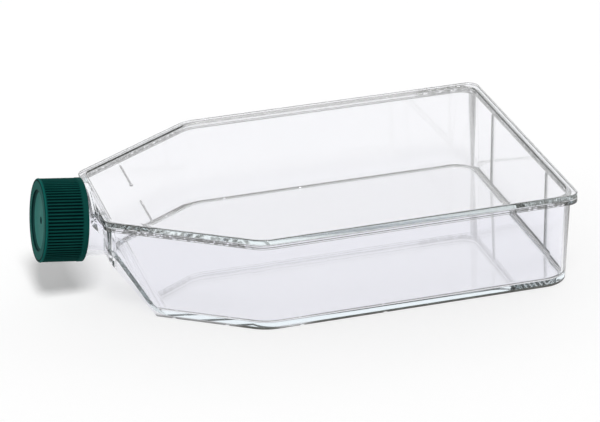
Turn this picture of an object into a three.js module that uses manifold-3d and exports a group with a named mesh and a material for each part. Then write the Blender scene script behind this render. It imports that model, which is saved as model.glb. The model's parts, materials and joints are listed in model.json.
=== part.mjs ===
// Cell culture flask, 225 cm2 class, lying flat on its foot rim, with a plug-seal screw cap.
//
// It is made as the real one is: a drafted tray moulding (floor, walls, pouring ramp, canted neck), a top
// plate welded on along a tongue and groove, and a ribbed screw cap.
// Millimetres. X runs from the neck to the back wall, Y across, Z up; the foot rim stands on z = 0 and the
// origin is the middle of the object's box.
import * as THREE from "three";
import { mergeVertices } from "three/addons/utils/BufferGeometryUtils.js";
import Module from "manifold-3d";

// ---------------------------------------------------------------- driving dimensions
// Plan of the rim, seen from above: a rectangle whose front narrows to the neck.
const RIM_LENGTH = 200; // front edge of the rim to its back edge
const RIM_WIDTH = 139.4;
const FRONT_WIDTH = 57; // straight front of the rim, across the neck
const SHOULDER_LENGTH = 58.5; // front edge back to where the sides run parallel
const BACK_CORNER_RADIUS = 5.2;
const SHOULDER_CORNER_RADIUS = 12;
const FRONT_CORNER_RADIUS = 5.5;
const SHOULDER_WALL_RADIUS = 16; // the walls' corners are rounder than the rim's
const BACK_WALL_RADIUS = 9.5;
const WALL_CORNER_GROWTH = 3; // and rounder still at the foot, by this much
const LEAST_CORNER = 0.8; // inner corners are never sharper

// Heights.
const FLASK_HEIGHT = 43; // table to the top of the rim
const FOOT_HEIGHT = 0.7; // the floor hangs this high above the table
const FLOOR_THICKNESS = 1.6;
const WALL_THICKNESS = 1.8;
const WALL_DRAFT = 1.0; // each wall leans in by this much from top to foot
const FLANGE_OVERHANG = 1.3;
const FLANGE_THICKNESS = 2.0;
const FLOOR_FILLET = 2.4; // between floor and walls, inside
const FOOT_EDGE = 0.35; // bevel under the foot rim

// Top plate and its weld.
const PLATE_THICKNESS = 1.6;
const BEAD_WIDTH = 3.5; // raised border of the plate, for stacking
const BEAD_HEIGHT = 0.6;
const BEAD_SLOPE = 0.25; // run of the bead's inner side for each unit of rise
const EDGE_BEVEL = 0.35;
const WELD_GAP = 0.3;
const TONGUE_WIDTH = 0.9; // it stands over the middle of the wall
const TONGUE_HEIGHT = 0.7;

// Pouring ramp, from the floor up to the neck. Setbacks run from the rim's front edge, drops from its top.
const RAMP_FOOT = 19.65; // setback at which the ramp's inner face would meet the floor
const RAMP_CREST = 3.8; // setback at which it would meet its crest
const CREST_DROP = 13.4;
const RAMP_THICKNESS = 1.7;
const CREST_RADIUS = 5.5;
const RAMP_FOOT_RADIUS = 7;
const SKIRT_FOOT = 18.3; // setback of the toe of the skirts under the ramp
const SKIRT_DROP = 19.6; // where the skirts run out on the front wall

// Canted neck.
const NECK_TILT = 7.2; // degrees; the mouth looks up by this much
const NECK_DROP = 10.7; // rim's top to the axis, at the rim's front edge
const LAND_RADIUS = 15.1; // the land that carries the thread
const NECK_WALL = 1.4;
const COLLAR_STEP = 0.7; // the collar stands this much above the land
const NECK_LENGTH = 21.3; // rim's front edge to the mouth, along the axis
const COLLAR_LENGTH = 7; // rim's front edge to the step down to the land, along the axis
const HOOD_THICKNESS = 1.5; // crescent wall that closes the neck above the flange
const LINTEL_THICKNESS = 1.6; // flange where it bridges the neck's bore
const MOUTH_BEVEL = 0.4;

// Small mouldings.
const BACK_RIB_OFFSET = 35.5; // each of two upright ribs inside the back wall, from the middle
const BACK_RIB_WIDTH = 1.0;
const BACK_RIB_HEIGHT = 0.7;
const LINE_RIB_SETBACK = 20; // cross ribs under the plate, from the rim's front edge
const LINE_RIB_INNER = 9; // from the middle to each rib's near end
const LINE_RIB_LENGTH = 22.5;
const LINE_RIB_WIDTH = 0.7;
const LINE_RIB_DEPTH = 0.7;
const VENT_WIDTH = 2.2; // notches in the foot rim that let air under the flask
const VENT_HEIGHT = 0.5;
const SIDE_VENTS = [75, 112]; // on each long side, from the rim's front edge
const SHOULDER_VENTS = [0.4, 0.74]; // on each shoulder, as fractions of its length

// Screw cap.
const CAP_LENGTH = 19.1;
const CAP_WALL = 1.2; // skirt, between the ribs
const CAP_RIBS = 76;
const RIB_DEPTH = 0.55;
const RIB_CREST_SHARE = 0.5; // crest as a share of the pitch
const RIB_FLANK_SHARE = 0.15; // each sloping flank, likewise
const RIB_INSET = 0.15; // crests lie this far inside the plain bands
const REAR_BAND = 2.5;
const FRONT_BAND = 1.7;
const FACE_BEVEL = 0.8;
const BAND_EDGE = 0.3; // small bevels at the bands' edges
const CAP_END_THICKNESS = 1.2; // closed end, under the recess
const THREAD_ROOM = 1.3; // threaded land to the inside of the cap
const SEAT_CLEARANCE = 0.3; // mouth of the neck to the underside of the cap
const FACE_RING_WIDTH = 5; // the face, around its recess
const RECESS_DEPTH = 1.4;
const RECESS_DRAFT = 0.3;
const PLUG_CLEARANCE = 0.3; // plug to the neck's bore
const PLUG_LENGTH = 4.0;
const PLUG_WALL = 1.2;
const PLUG_LEAD = 0.35;
const GATE_BOSS_RADIUS = 3.2;
const GATE_BOSS_HEIGHT = 0.5;
const GATE_DIMPLE_RADIUS = 1.6;
const GATE_DIMPLE_DEPTH = 0.6;
const GATE_DIMPLE_FLOOR = 1.1;

// How finely curves are cut.
const CORNER_STEPS = 6;
const FILLET_STEPS = 4;
const NECK_SEGMENTS = 76;

// ---------------------------------------------------------------- values that follow
const FLOOR_TOP = FOOT_HEIGHT + FLOOR_THICKNESS;
const PLATE_BOTTOM = FLASK_HEIGHT - BEAD_HEIGHT - PLATE_THICKNESS;
const FLANGE_TOP = PLATE_BOTTOM - WELD_GAP;
const FLANGE_BOTTOM = FLANGE_TOP - FLANGE_THICKNESS;
const TONGUE_DEPTH = (WALL_THICKNESS - TONGUE_WIDTH) / 2; // behind the wall's outer face
const CREST_HEIGHT = FLASK_HEIGHT - CREST_DROP;
const SKIRT_HEIGHT = FLASK_HEIGHT - SKIRT_DROP;
const NECK_AXIS_HEIGHT = FLASK_HEIGHT - NECK_DROP;
const NECK_RADIUS = LAND_RADIUS + COLLAR_STEP;
const BORE_RADIUS = LAND_RADIUS - NECK_WALL;
const CAP_INSIDE = LAND_RADIUS + THREAD_ROOM;
const CAP_ROOT = CAP_INSIDE + CAP_WALL;
const CAP_RADIUS = CAP_ROOT + RIB_DEPTH + RIB_INSET;
const tilt = THREE.MathUtils.degToRad(NECK_TILT);
const RIM_CORNERS = [FRONT_CORNER_RADIUS, SHOULDER_CORNER_RADIUS, BACK_CORNER_RADIUS];
const MARGIN = 5; // how far cutting tools run past what they cut
const BITE = 0.4; // how far joined forms run into each other

// ---------------------------------------------------------------- solids
const wasm = await Module();
wasm.setup();

// A closed geometry as a solid.
function solid(geometry) {
  const bare = geometry.index ? geometry.toNonIndexed() : geometry.clone();
  for (const name of Object.keys(bare.attributes))
    if (name !== "position") bare.deleteAttribute(name);
  const merged = mergeVertices(bare, 1e-4);
  return new wasm.Manifold(
    new wasm.Mesh({
      numProp: 3,
      vertProperties: new Float32Array(merged.attributes.position.array),
      triVerts: new Uint32Array(merged.index.array),
    }),
  );
}

// A solid as a geometry that three.js can draw.
function geometryOf(body) {
  const mesh = body.getMesh();
  const geometry = new THREE.BufferGeometry();
  const stride = mesh.numProp;
  const points = new Float32Array(mesh.numVert * 3);
  for (let i = 0; i < mesh.numVert; i++)
    points.set(mesh.vertProperties.subarray(i * stride, i * stride + 3), i * 3);
  geometry.setAttribute("position", new THREE.BufferAttribute(points, 3));
  geometry.setIndex(new THREE.BufferAttribute(new Uint32Array(mesh.triVerts), 1));
  geometry.computeVertexNormals();
  return geometry;
}

// The rim's plan moved inwards by inset, with its corners rounded, anticlockwise seen from above.
function planOutline(inset, radiusLoss = 0, [front, shoulder, back] = RIM_CORNERS) {
  const corners = [
    { x: 0, y: -FRONT_WIDTH / 2, r: front },
    { x: SHOULDER_LENGTH, y: -RIM_WIDTH / 2, r: shoulder },
    { x: RIM_LENGTH, y: -RIM_WIDTH / 2, r: back },
    { x: RIM_LENGTH, y: RIM_WIDTH / 2, r: back },
    { x: SHOULDER_LENGTH, y: RIM_WIDTH / 2, r: shoulder },
    { x: 0, y: FRONT_WIDTH / 2, r: front },
  ];
  const n = corners.length;
  const way = corners.map((c, i) => {
    const next = corners[(i + 1) % n];
    return new THREE.Vector2(next.x - c.x, next.y - c.y).normalize();
  });
  const inward = way.map((w) => new THREE.Vector2(-w.y, w.x));
  const points = [];
  for (let i = 0; i < n; i++) {
    const before = (i + n - 1) % n;
    // Where the two shifted edges cross.
    const bisector = inward[before].clone().add(inward[i]);
    bisector.multiplyScalar(1 / (1 + inward[before].dot(inward[i])));
    const apex = new THREE.Vector2(corners[i].x, corners[i].y).addScaledVector(bisector, inset);
    const radius = Math.max(corners[i].r - radiusLoss, LEAST_CORNER);
    const centre = apex.clone().addScaledVector(bisector, radius);
    const from = inward[before].clone().negate();
    const to = inward[i].clone().negate();
    const start = from.angle();
    let turn = to.angle() - start;
    while (turn < 0) turn += 2 * Math.PI;
    for (let k = 0; k <= CORNER_STEPS; k++) {
      const a = start + (turn * k) / CORNER_STEPS;
      points.push([centre.x + radius * Math.cos(a), centre.y + radius * Math.sin(a)]);
    }
  }
  return points;
}

// A convex body through like sections, given from the lowest up as { z, outline }.
function loft(sections) {
  const n = sections[0].outline.length;
  const positions = [];
  for (const s of sections) for (const [x, y] of s.outline) positions.push(x, y, s.z);
  const index = [];
  for (let k = 0; k + 1 < sections.length; k++)
    for (let i = 0; i < n; i++) {
      const j = (i + 1) % n;
      const a = k * n + i;
      const b = k * n + j;
      index.push(a, b, b + n, a, b + n, a + n);
    }
  const top = (sections.length - 1) * n;
  for (let i = 1; i + 1 < n; i++) {
    index.push(0, i + 1, i);
    index.push(top, top + i, top + i + 1);
  }
  const geometry = new THREE.BufferGeometry();
  geometry.setAttribute("position", new THREE.Float32BufferAttribute(positions, 3));
  geometry.setIndex(index);
  return solid(geometry);
}

const slab = (outline, z0, z1) => loft([z0, z1].map((z) => ({ z, outline })));

// Walls: how far their outer face lies inside the rim's edge at a height, and the plan of a face that
// lies inside it by depth.
const wallInset = (z) => FLANGE_OVERHANG + (WALL_DRAFT * (FLANGE_BOTTOM - z)) / FLANGE_BOTTOM;

function wallOutline(z, depth = 0) {
  const growth = (WALL_CORNER_GROWTH * (FLANGE_BOTTOM - z)) / FLANGE_BOTTOM;
  const corners = [FRONT_CORNER_RADIUS, SHOULDER_WALL_RADIUS + growth, BACK_WALL_RADIUS + growth];
  return planOutline(wallInset(z) + depth, depth, corners);
}

// A side profile in X and Z, run right across the flask.
function across(profile, width = RIM_WIDTH + 2 * MARGIN) {
  const shape = new THREE.Shape(profile.map(([x, z]) => new THREE.Vector2(x, z)));
  const geometry = new THREE.ExtrudeGeometry(shape, { depth: width, bevelEnabled: false });
  geometry.rotateX(Math.PI / 2);
  geometry.translate(0, width / 2, 0);
  return solid(geometry);
}

function block(x0, x1, y0, y1, z0, z1) {
  const geometry = new THREE.BoxGeometry(x1 - x0, y1 - y0, z1 - z0);
  geometry.translate((x0 + x1) / 2, (y0 + y1) / 2, (z0 + z1) / 2);
  return solid(geometry);
}

// A closed ring or rod turned about Z from a profile of [radius, height], run anticlockwise.
function turned(profile, segments) {
  const points = profile.map(([r, h]) => new THREE.Vector2(r, h));
  const geometry = new THREE.LatheGeometry(points, segments);
  geometry.rotateX(Math.PI / 2);
  const body = solid(geometry);
  return body.volume() < 0 ? solid(flipped(geometry)) : body;
}

function flipped(geometry) {
  const copy = geometry.clone();
  const a = copy.index.array;
  for (let i = 0; i < a.length; i += 3) [a[i + 1], a[i + 2]] = [a[i + 2], a[i + 1]];
  return copy;
}

// Points of the rounding where a path turns at a corner, from the leg before to the leg after.
function rounded(before, corner, after, radius) {
  const c = new THREE.Vector2(...corner);
  const u = new THREE.Vector2(...before).sub(c).normalize();
  const v = new THREE.Vector2(...after).sub(c).normalize();
  const half = Math.acos(THREE.MathUtils.clamp(u.dot(v), -1, 1)) / 2;
  const reach = radius / Math.tan(half);
  const start = c.clone().addScaledVector(u, reach);
  const end = c.clone().addScaledVector(v, reach);
  const centre = c.clone().addScaledVector(u.clone().add(v).normalize(), radius / Math.sin(half));
  const a0 = start.clone().sub(centre).angle();
  let sweep = end.clone().sub(centre).angle() - a0;
  if (sweep > Math.PI) sweep -= 2 * Math.PI;
  if (sweep < -Math.PI) sweep += 2 * Math.PI;
  return Array.from({ length: CORNER_STEPS + 1 }, (_, k) => {
    const a = a0 + (sweep * k) / CORNER_STEPS;
    return [centre.x + radius * Math.cos(a), centre.y + radius * Math.sin(a)];
  });
}

// The neck's frame: Z runs out of the mouth, from where the axis passes the rim's front edge.
const neckFrame = new THREE.Group();
neckFrame.position.set(0, 0, NECK_AXIS_HEIGHT);
neckFrame.rotation.y = tilt - Math.PI / 2;
neckFrame.updateMatrix();
const alongNeck = (body) => body.transform(neckFrame.matrix.toArray());

// ---------------------------------------------------------------- tray
// A straight side profile from a low point to a high one, moved forwards square to itself: x at a height.
function lean([x0, z0], [x1, z1], shift) {
  const angle = Math.atan2(z1 - z0, x0 - x1);
  return (z) => x0 - shift / Math.sin(angle) - (z - z0) / Math.tan(angle);
}

const rampLine = (shift) => lean([RAMP_FOOT, FLOOR_TOP], [RAMP_CREST, CREST_HEIGHT], shift);

function makeTray() {
  // Outer body up to the flange.
  let body = loft([
    { z: 0, outline: wallOutline(0, FOOT_EDGE) },
    { z: FOOT_EDGE, outline: wallOutline(FOOT_EDGE) },
    { z: FLANGE_BOTTOM + BITE, outline: wallOutline(FLANGE_BOTTOM) },
  ]);
  // Its front is cut back along the ramp.
  const skirt = lean([SKIRT_FOOT, 0], [FLANGE_OVERHANG, SKIRT_HEIGHT], 0);
  body = body.subtract(
    across([
      [-MARGIN, -MARGIN],
      [skirt(-MARGIN), -MARGIN],
      [skirt(SKIRT_HEIGHT), SKIRT_HEIGHT],
      [-MARGIN, SKIRT_HEIGHT],
    ]),
  );

  // Hollow under the floor and the ramp, which leaves the foot rim and the skirts.
  const under = rampLine(RAMP_THICKNESS);
  const underCrest = CREST_HEIGHT - RAMP_THICKNESS;
  const rim = wallInset(0) + WALL_THICKNESS;
  body = body.subtract(
    slab(wallOutline(0, WALL_THICKNESS), -MARGIN, FLANGE_BOTTOM).intersect(
      across([
        [-MARGIN, -MARGIN],
        [RIM_LENGTH + MARGIN, -MARGIN],
        [RIM_LENGTH + MARGIN, FOOT_HEIGHT],
        [under(FOOT_HEIGHT), FOOT_HEIGHT],
        [under(underCrest), underCrest],
        [-MARGIN, underCrest],
      ]),
    ),
  );

  // Neck tube, plain here, cut off in front of the welded rim above the flange.
  const reach = RAMP_FOOT;
  let neck = alongNeck(
    turned(
      [
        [0, -reach],
        [NECK_RADIUS, -reach],
        [NECK_RADIUS, COLLAR_LENGTH],
        [LAND_RADIUS, COLLAR_LENGTH + (NECK_RADIUS - LAND_RADIUS)],
        [LAND_RADIUS, NECK_LENGTH - MOUTH_BEVEL],
        [LAND_RADIUS - MOUTH_BEVEL, NECK_LENGTH],
        [0, NECK_LENGTH],
      ],
      NECK_SEGMENTS,
    ),
  );
  const plateSide = block(
    -WELD_GAP, RIM_LENGTH, -RIM_WIDTH, RIM_WIDTH, FLANGE_TOP, FLASK_HEIGHT + NECK_RADIUS);
  const rampSide = across([
    [-MARGIN - reach, -MARGIN],
    [under(-MARGIN), -MARGIN],
    [under(CREST_HEIGHT), CREST_HEIGHT],
    [FLANGE_OVERHANG + WALL_THICKNESS / 2, CREST_HEIGHT],
    [FLANGE_OVERHANG + WALL_THICKNESS / 2, FLASK_HEIGHT + NECK_RADIUS],
    [-MARGIN - 2 * NECK_LENGTH, FLASK_HEIGHT + NECK_RADIUS],
    [-MARGIN - 2 * NECK_LENGTH, -MARGIN],
  ]);
  const rampBack = rampLine(RAMP_THICKNESS / 2);
  const tubeEnd = across([
    [-MARGIN - 2 * NECK_LENGTH, -MARGIN],
    [rampBack(-MARGIN), -MARGIN],
    [rampBack(FLASK_HEIGHT), FLASK_HEIGHT],
    [rampBack(FLASK_HEIGHT), FLASK_HEIGHT + NECK_RADIUS],
    [-MARGIN - 2 * NECK_LENGTH, FLASK_HEIGHT + NECK_RADIUS],
  ]);
  neck = neck.intersect(tubeEnd.add(rampSide)).subtract(plateSide);
  body = body.add(neck);

  // Flange with the tongue of the weld.
  body = body.add(slab(planOutline(0), FLANGE_BOTTOM, FLANGE_TOP));
  const tongueOutside = wallOutline(FLANGE_BOTTOM, TONGUE_DEPTH);
  const tongueInside = wallOutline(FLANGE_BOTTOM, TONGUE_DEPTH + TONGUE_WIDTH);
  body = body.add(
    slab(tongueOutside, FLANGE_TOP - BITE, FLANGE_TOP + TONGUE_HEIGHT).subtract(
      slab(tongueInside, FLANGE_BOTTOM, FLASK_HEIGHT),
    ),
  );

  // Inside of the flask: drafted walls with a fillet at the floor, and the ramp's inner face.
  const sections = [];
  for (let k = 0; k <= FILLET_STEPS; k++) {
    const a = (k / FILLET_STEPS) * (Math.PI / 2);
    const z = FLOOR_TOP + FLOOR_FILLET * (1 - Math.cos(a));
    sections.push({ z, outline: wallOutline(z, WALL_THICKNESS + FLOOR_FILLET * (1 - Math.sin(a))) });
  }
  for (const z of [FLANGE_BOTTOM, FLASK_HEIGHT + MARGIN])
    sections.push({ z, outline: wallOutline(FLANGE_BOTTOM, WALL_THICKNESS) });
  const foot = [RAMP_FOOT, FLOOR_TOP];
  const crest = [RAMP_CREST, CREST_HEIGHT];
  const front = [-2 * MARGIN, CREST_HEIGHT];
  const cavity = loft(sections).intersect(
    across([
      [RIM_LENGTH, FLOOR_TOP - BITE],
      [RIM_LENGTH, FLASK_HEIGHT + 2 * MARGIN],
      [-2 * MARGIN, FLASK_HEIGHT + 2 * MARGIN],
      front,
      ...rounded(front, crest, foot, CREST_RADIUS),
      ...rounded(crest, foot, [RIM_LENGTH, FLOOR_TOP], RAMP_FOOT_RADIUS),
      [RAMP_FOOT + RAMP_FOOT_RADIUS, FLOOR_TOP - BITE],
    ]),
  );
  // Bore of the neck, stopped under the flange and by the hood.
  const bore = alongNeck(
    turned(
      [
        [0, -reach],
        [BORE_RADIUS, -reach],
        [BORE_RADIUS, NECK_LENGTH - MOUTH_BEVEL],
        [BORE_RADIUS + MOUTH_BEVEL, NECK_LENGTH],
        [BORE_RADIUS + MOUTH_BEVEL, NECK_LENGTH + MARGIN],
        [0, NECK_LENGTH + MARGIN],
      ],
      NECK_SEGMENTS,
    ),
  ).subtract(
    block(
      -WELD_GAP - HOOD_THICKNESS, RIM_LENGTH, -RIM_WIDTH, RIM_WIDTH,
      FLANGE_TOP - LINTEL_THICKNESS, FLASK_HEIGHT + NECK_RADIUS),
  );
  body = body.subtract(cavity).subtract(bore);

  // Two upright ribs inside the back wall.
  const backFace = RIM_LENGTH - FLANGE_OVERHANG - WALL_THICKNESS;
  for (const side of [-1, 1]) {
    const y = side * BACK_RIB_OFFSET;
    body = body.add(
      across(
        [
          [backFace + WALL_THICKNESS / 2, FLANGE_BOTTOM],
          [backFace - BACK_RIB_HEIGHT, FLANGE_BOTTOM],
          [backFace - BACK_RIB_HEIGHT - WALL_DRAFT, FLOOR_TOP - BITE],
          [backFace - WALL_DRAFT + WALL_THICKNESS / 2, FLOOR_TOP - BITE],
        ],
        BACK_RIB_WIDTH,
      ).translate([0, y, 0]),
    );
  }

  // Air notches in the foot rim.
  const vent = (x, y, angle) => {
    const geometry = new THREE.BoxGeometry(VENT_WIDTH, 3 * rim, 2 * VENT_HEIGHT);
    geometry.rotateZ(angle);
    geometry.translate(x, y, 0);
    return solid(geometry);
  };
  for (const side of [-1, 1]) {
    for (const x of SIDE_VENTS) body = body.subtract(vent(x, side * (RIM_WIDTH / 2 - rim / 2), 0));
    const dy = (RIM_WIDTH - FRONT_WIDTH) / 2;
    const angle = Math.atan2(dy, SHOULDER_LENGTH);
    for (const t of SHOULDER_VENTS)
      body = body.subtract(
        vent(
          SHOULDER_LENGTH * t + (Math.sin(angle) * rim) / 2,
          side * (FRONT_WIDTH / 2 + dy * t - (Math.cos(angle) * rim) / 2),
          side * angle),
      );
  }
  return body;
}

// ---------------------------------------------------------------- top plate
function makeTopPlate() {
  let plate = loft([
    { z: PLATE_BOTTOM, outline: planOutline(0) },
    { z: FLASK_HEIGHT - EDGE_BEVEL, outline: planOutline(0) },
    { z: FLASK_HEIGHT, outline: planOutline(EDGE_BEVEL, EDGE_BEVEL) },
  ]);
  // Panel inside the bead, whose corners follow the walls.
  const beadDepth = BEAD_WIDTH - FLANGE_OVERHANG;
  const slope = BEAD_SLOPE * (BEAD_HEIGHT + BITE);
  plate = plate.subtract(
    loft([
      { z: FLASK_HEIGHT - BEAD_HEIGHT, outline: wallOutline(FLANGE_BOTTOM, beadDepth) },
      { z: FLASK_HEIGHT + BITE, outline: wallOutline(FLANGE_BOTTOM, beadDepth - slope) },
    ]),
  );
  // Groove over the tray's tongue.
  const grooveOutside = wallOutline(FLANGE_BOTTOM, TONGUE_DEPTH - WELD_GAP);
  const grooveInside = wallOutline(FLANGE_BOTTOM, TONGUE_DEPTH + TONGUE_WIDTH + WELD_GAP);
  plate = plate.subtract(
    slab(grooveOutside, FLANGE_TOP, FLANGE_TOP + TONGUE_HEIGHT + WELD_GAP).subtract(
      slab(grooveInside, FLANGE_BOTTOM, FLASK_HEIGHT),
    ),
  );
  // Cross ribs under the panel near the neck.
  for (const side of [-1, 1]) {
    const y0 = side * LINE_RIB_INNER;
    const y1 = side * (LINE_RIB_INNER + LINE_RIB_LENGTH);
    plate = plate.add(
      block(
        LINE_RIB_SETBACK - LINE_RIB_WIDTH / 2, LINE_RIB_SETBACK + LINE_RIB_WIDTH / 2,
        Math.min(y0, y1), Math.max(y0, y1),
        PLATE_BOTTOM - LINE_RIB_DEPTH, PLATE_BOTTOM + PLATE_THICKNESS / 2),
    );
  }
  return plate;
}

// ---------------------------------------------------------------- screw cap
// Its own frame: Z along the neck, 0 at the open end, the face at CAP_LENGTH.
function makeCap() {
  const plug = BORE_RADIUS - PLUG_CLEARANCE;
  const recessFloor = CAP_LENGTH - RECESS_DEPTH;
  const seat = recessFloor - CAP_END_THICKNESS;
  const recess = CAP_RADIUS - FACE_RING_WIDTH;
  const frontBand = CAP_LENGTH - FACE_BEVEL - FRONT_BAND;
  let cap = turned(
    [
      [CAP_INSIDE, 0],
      [CAP_RADIUS - BAND_EDGE, 0],
      [CAP_RADIUS, BAND_EDGE],
      [CAP_RADIUS, REAR_BAND],
      [CAP_ROOT, REAR_BAND + BAND_EDGE],
      [CAP_ROOT, frontBand - BAND_EDGE],
      [CAP_RADIUS, frontBand],
      [CAP_RADIUS, CAP_LENGTH - FACE_BEVEL],
      [CAP_RADIUS - FACE_BEVEL / 3, CAP_LENGTH - FACE_BEVEL / 3],
      [CAP_RADIUS - FACE_BEVEL, CAP_LENGTH],
      [recess, CAP_LENGTH],
      [recess - RECESS_DRAFT, recessFloor],
      [GATE_BOSS_RADIUS, recessFloor],
      [GATE_BOSS_RADIUS, recessFloor + GATE_BOSS_HEIGHT],
      [GATE_DIMPLE_RADIUS, recessFloor + GATE_BOSS_HEIGHT],
      [GATE_DIMPLE_FLOOR, recessFloor + GATE_BOSS_HEIGHT - GATE_DIMPLE_DEPTH],
      [0, recessFloor + GATE_BOSS_HEIGHT - GATE_DIMPLE_DEPTH],
      [0, seat],
      [plug - PLUG_WALL, seat],
      [plug - PLUG_WALL, seat - PLUG_LENGTH],
      [plug - PLUG_LEAD, seat - PLUG_LENGTH],
      [plug, seat - PLUG_LENGTH + 3 * PLUG_LEAD],
      [plug, seat],
      [CAP_INSIDE, seat],
      [CAP_INSIDE, 0],
    ],
    NECK_SEGMENTS,
  );

  // Grip ribs: one toothed ring between the plain bands.
  const ring = new THREE.Shape();
  const pitch = (2 * Math.PI) / CAP_RIBS;
  const crest = CAP_RADIUS - RIB_INSET;
  for (let i = 0; i < CAP_RIBS; i++)
    for (const [r, t] of [
      [CAP_ROOT, 0.5 - RIB_CREST_SHARE / 2 - RIB_FLANK_SHARE],
      [crest, 0.5 - RIB_CREST_SHARE / 2],
      [crest, 0.5 + RIB_CREST_SHARE / 2],
      [CAP_ROOT, 0.5 + RIB_CREST_SHARE / 2 + RIB_FLANK_SHARE],
    ]) {
      const a = (i + t) * pitch;
      const point = [r * Math.cos(a), r * Math.sin(a)];
      if (ring.curves.length || ring.currentPoint.length()) ring.lineTo(...point);
      else ring.moveTo(...point);
    }
  ring.closePath();
  const hole = new THREE.Path();
  hole.absarc(0, 0, (CAP_INSIDE + CAP_ROOT) / 2, 0, 2 * Math.PI, true);
  ring.holes.push(hole);
  const start = REAR_BAND - BAND_EDGE;
  const end = frontBand + BAND_EDGE;
  const teeth = new THREE.ExtrudeGeometry(ring, {
    depth: end - start,
    bevelEnabled: false,
    curveSegments: CAP_RIBS / 2,
  });
  teeth.translate(0, 0, start);
  cap = cap.add(solid(teeth));
  return cap;
}

// ---------------------------------------------------------------- assembly
const clear = { roughness: 0.06, metalness: 0, transparent: true, opacity: 0.35 };
const polystyrene = new THREE.MeshStandardMaterial({ color: 0xe9e9f2, ...clear });
const plateClear = new THREE.MeshStandardMaterial({ color: 0xf1f1f3, ...clear });
const capGreen = new THREE.MeshStandardMaterial({ color: 0x0d4f49, roughness: 0.42, metalness: 0 });

// Rim's front edge to the cap's face, along the neck.
const capReach = NECK_LENGTH + SEAT_CLEARANCE + CAP_END_THICKNESS + RECESS_DEPTH;
const capLow = new THREE.Vector3(-CAP_RADIUS + FACE_BEVEL, 0, capReach).applyMatrix4(neckFrame.matrix);
const capBand = new THREE.Vector3(-CAP_RADIUS, 0, capReach - FACE_BEVEL).applyMatrix4(neckFrame.matrix);

const flask = new THREE.Group();
flask.position.x = -(RIM_LENGTH + Math.min(capLow.x, capBand.x)) / 2;

const tray = new THREE.Mesh(geometryOf(makeTray()), polystyrene);
tray.name = "tray_with_neck";
flask.add(tray);

const plate = new THREE.Mesh(geometryOf(makeTopPlate()), plateClear);
plate.name = "top_plate";
flask.add(plate);

flask.add(neckFrame);
const cap = new THREE.Mesh(geometryOf(makeCap()), capGreen);
cap.name = "screw_cap";
cap.position.z = capReach - CAP_LENGTH;
neckFrame.add(cap);

const object = new THREE.Group();
object.add(flask);
export default object;
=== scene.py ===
"""Cell culture flask: a clear tray with a canted neck, its welded top plate, and a ribbed screw cap.

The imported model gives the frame. Each of its three nodes is replaced by a finer mesh of the same shape, with
rounded edges, threads and the melted weld line. Shapes are worked out in millimetres, with X from the rim's
front edge to its back, Y across and Z up from the table, and are then moved into the model's frame.

In the functions, s, n, c and t are the settings of the flask, its neck, its cap and the studio, and f builds
the nodes of a finish.
"""

import json
import math
from types import SimpleNamespace

import bpy
from mathutils import Matrix, Vector, noise


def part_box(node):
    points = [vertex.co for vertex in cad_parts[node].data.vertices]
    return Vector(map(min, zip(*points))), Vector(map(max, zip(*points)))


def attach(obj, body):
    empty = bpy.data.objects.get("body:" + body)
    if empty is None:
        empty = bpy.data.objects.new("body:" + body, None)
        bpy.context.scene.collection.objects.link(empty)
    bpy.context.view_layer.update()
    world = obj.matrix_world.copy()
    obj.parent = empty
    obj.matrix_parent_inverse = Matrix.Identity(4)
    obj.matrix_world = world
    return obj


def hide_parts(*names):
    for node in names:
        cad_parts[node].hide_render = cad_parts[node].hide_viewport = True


bl_info = {
    "name": "Cell culture flask",
    "version": (1, 0, 0),
    "blender": (4, 5, 0),
    "location": "3D View > Sidebar > Flask",
    "description": "Builds a clear cell culture flask with its screw cap, and a plain studio round it",
    "category": "Object",
}

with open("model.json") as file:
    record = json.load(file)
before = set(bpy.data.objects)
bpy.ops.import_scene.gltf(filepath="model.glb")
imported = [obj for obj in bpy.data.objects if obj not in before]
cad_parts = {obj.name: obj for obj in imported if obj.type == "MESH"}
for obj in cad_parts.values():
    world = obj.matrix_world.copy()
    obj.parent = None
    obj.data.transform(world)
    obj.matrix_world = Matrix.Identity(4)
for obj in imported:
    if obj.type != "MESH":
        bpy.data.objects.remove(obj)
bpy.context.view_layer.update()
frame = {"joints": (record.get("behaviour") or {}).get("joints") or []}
PLATE_LOW, PLATE_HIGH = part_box("top_plate")
PULL = Vector(frame["joints"][0]["axis"])  # the way the cap comes off

MM = 0.001  # shapes are worked out in millimetres, the model is in metres
BITE = 0.4  # how far joined forms run into each other
MARGIN = 5.0  # how far a cutting tool runs past what it cuts
LEAST_CORNER = 0.6  # a corner that is moved inwards never gets sharper
CORNER_STEPS = 14
NECK_SEGMENTS = 152
CLEARANCE = 0.3  # between cap and neck, at the plug and at the mouth

POLYSTYRENE_IOR = 1.59
POLYETHYLENE_IOR = 1.52


# ------------ settings
def number(name, description, default, **more):
    """A property that holds one number."""
    return bpy.props.FloatProperty(name=name, description=description, default=default, **more)


def metres(name, description, default):
    """A length property; the default is in metres."""
    return number(name, description, default, min=0.0, unit="LENGTH", precision=5)


def colour(name, description, default):
    """A colour property, as linear red, green and blue."""
    return bpy.props.FloatVectorProperty(
        name=name, description=description, default=default, size=3, min=0.0, max=1.0, subtype="COLOR"
    )


def degrees(name, description, default):
    """An angle property; the default is in degrees."""
    return number(name, description, math.radians(default), subtype="ANGLE")


def portion(name, description, default):
    """A property for a part of the whole, from 0 to 1."""
    return number(name, description, default, min=0.0, max=1.0, subtype="FACTOR")


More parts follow.
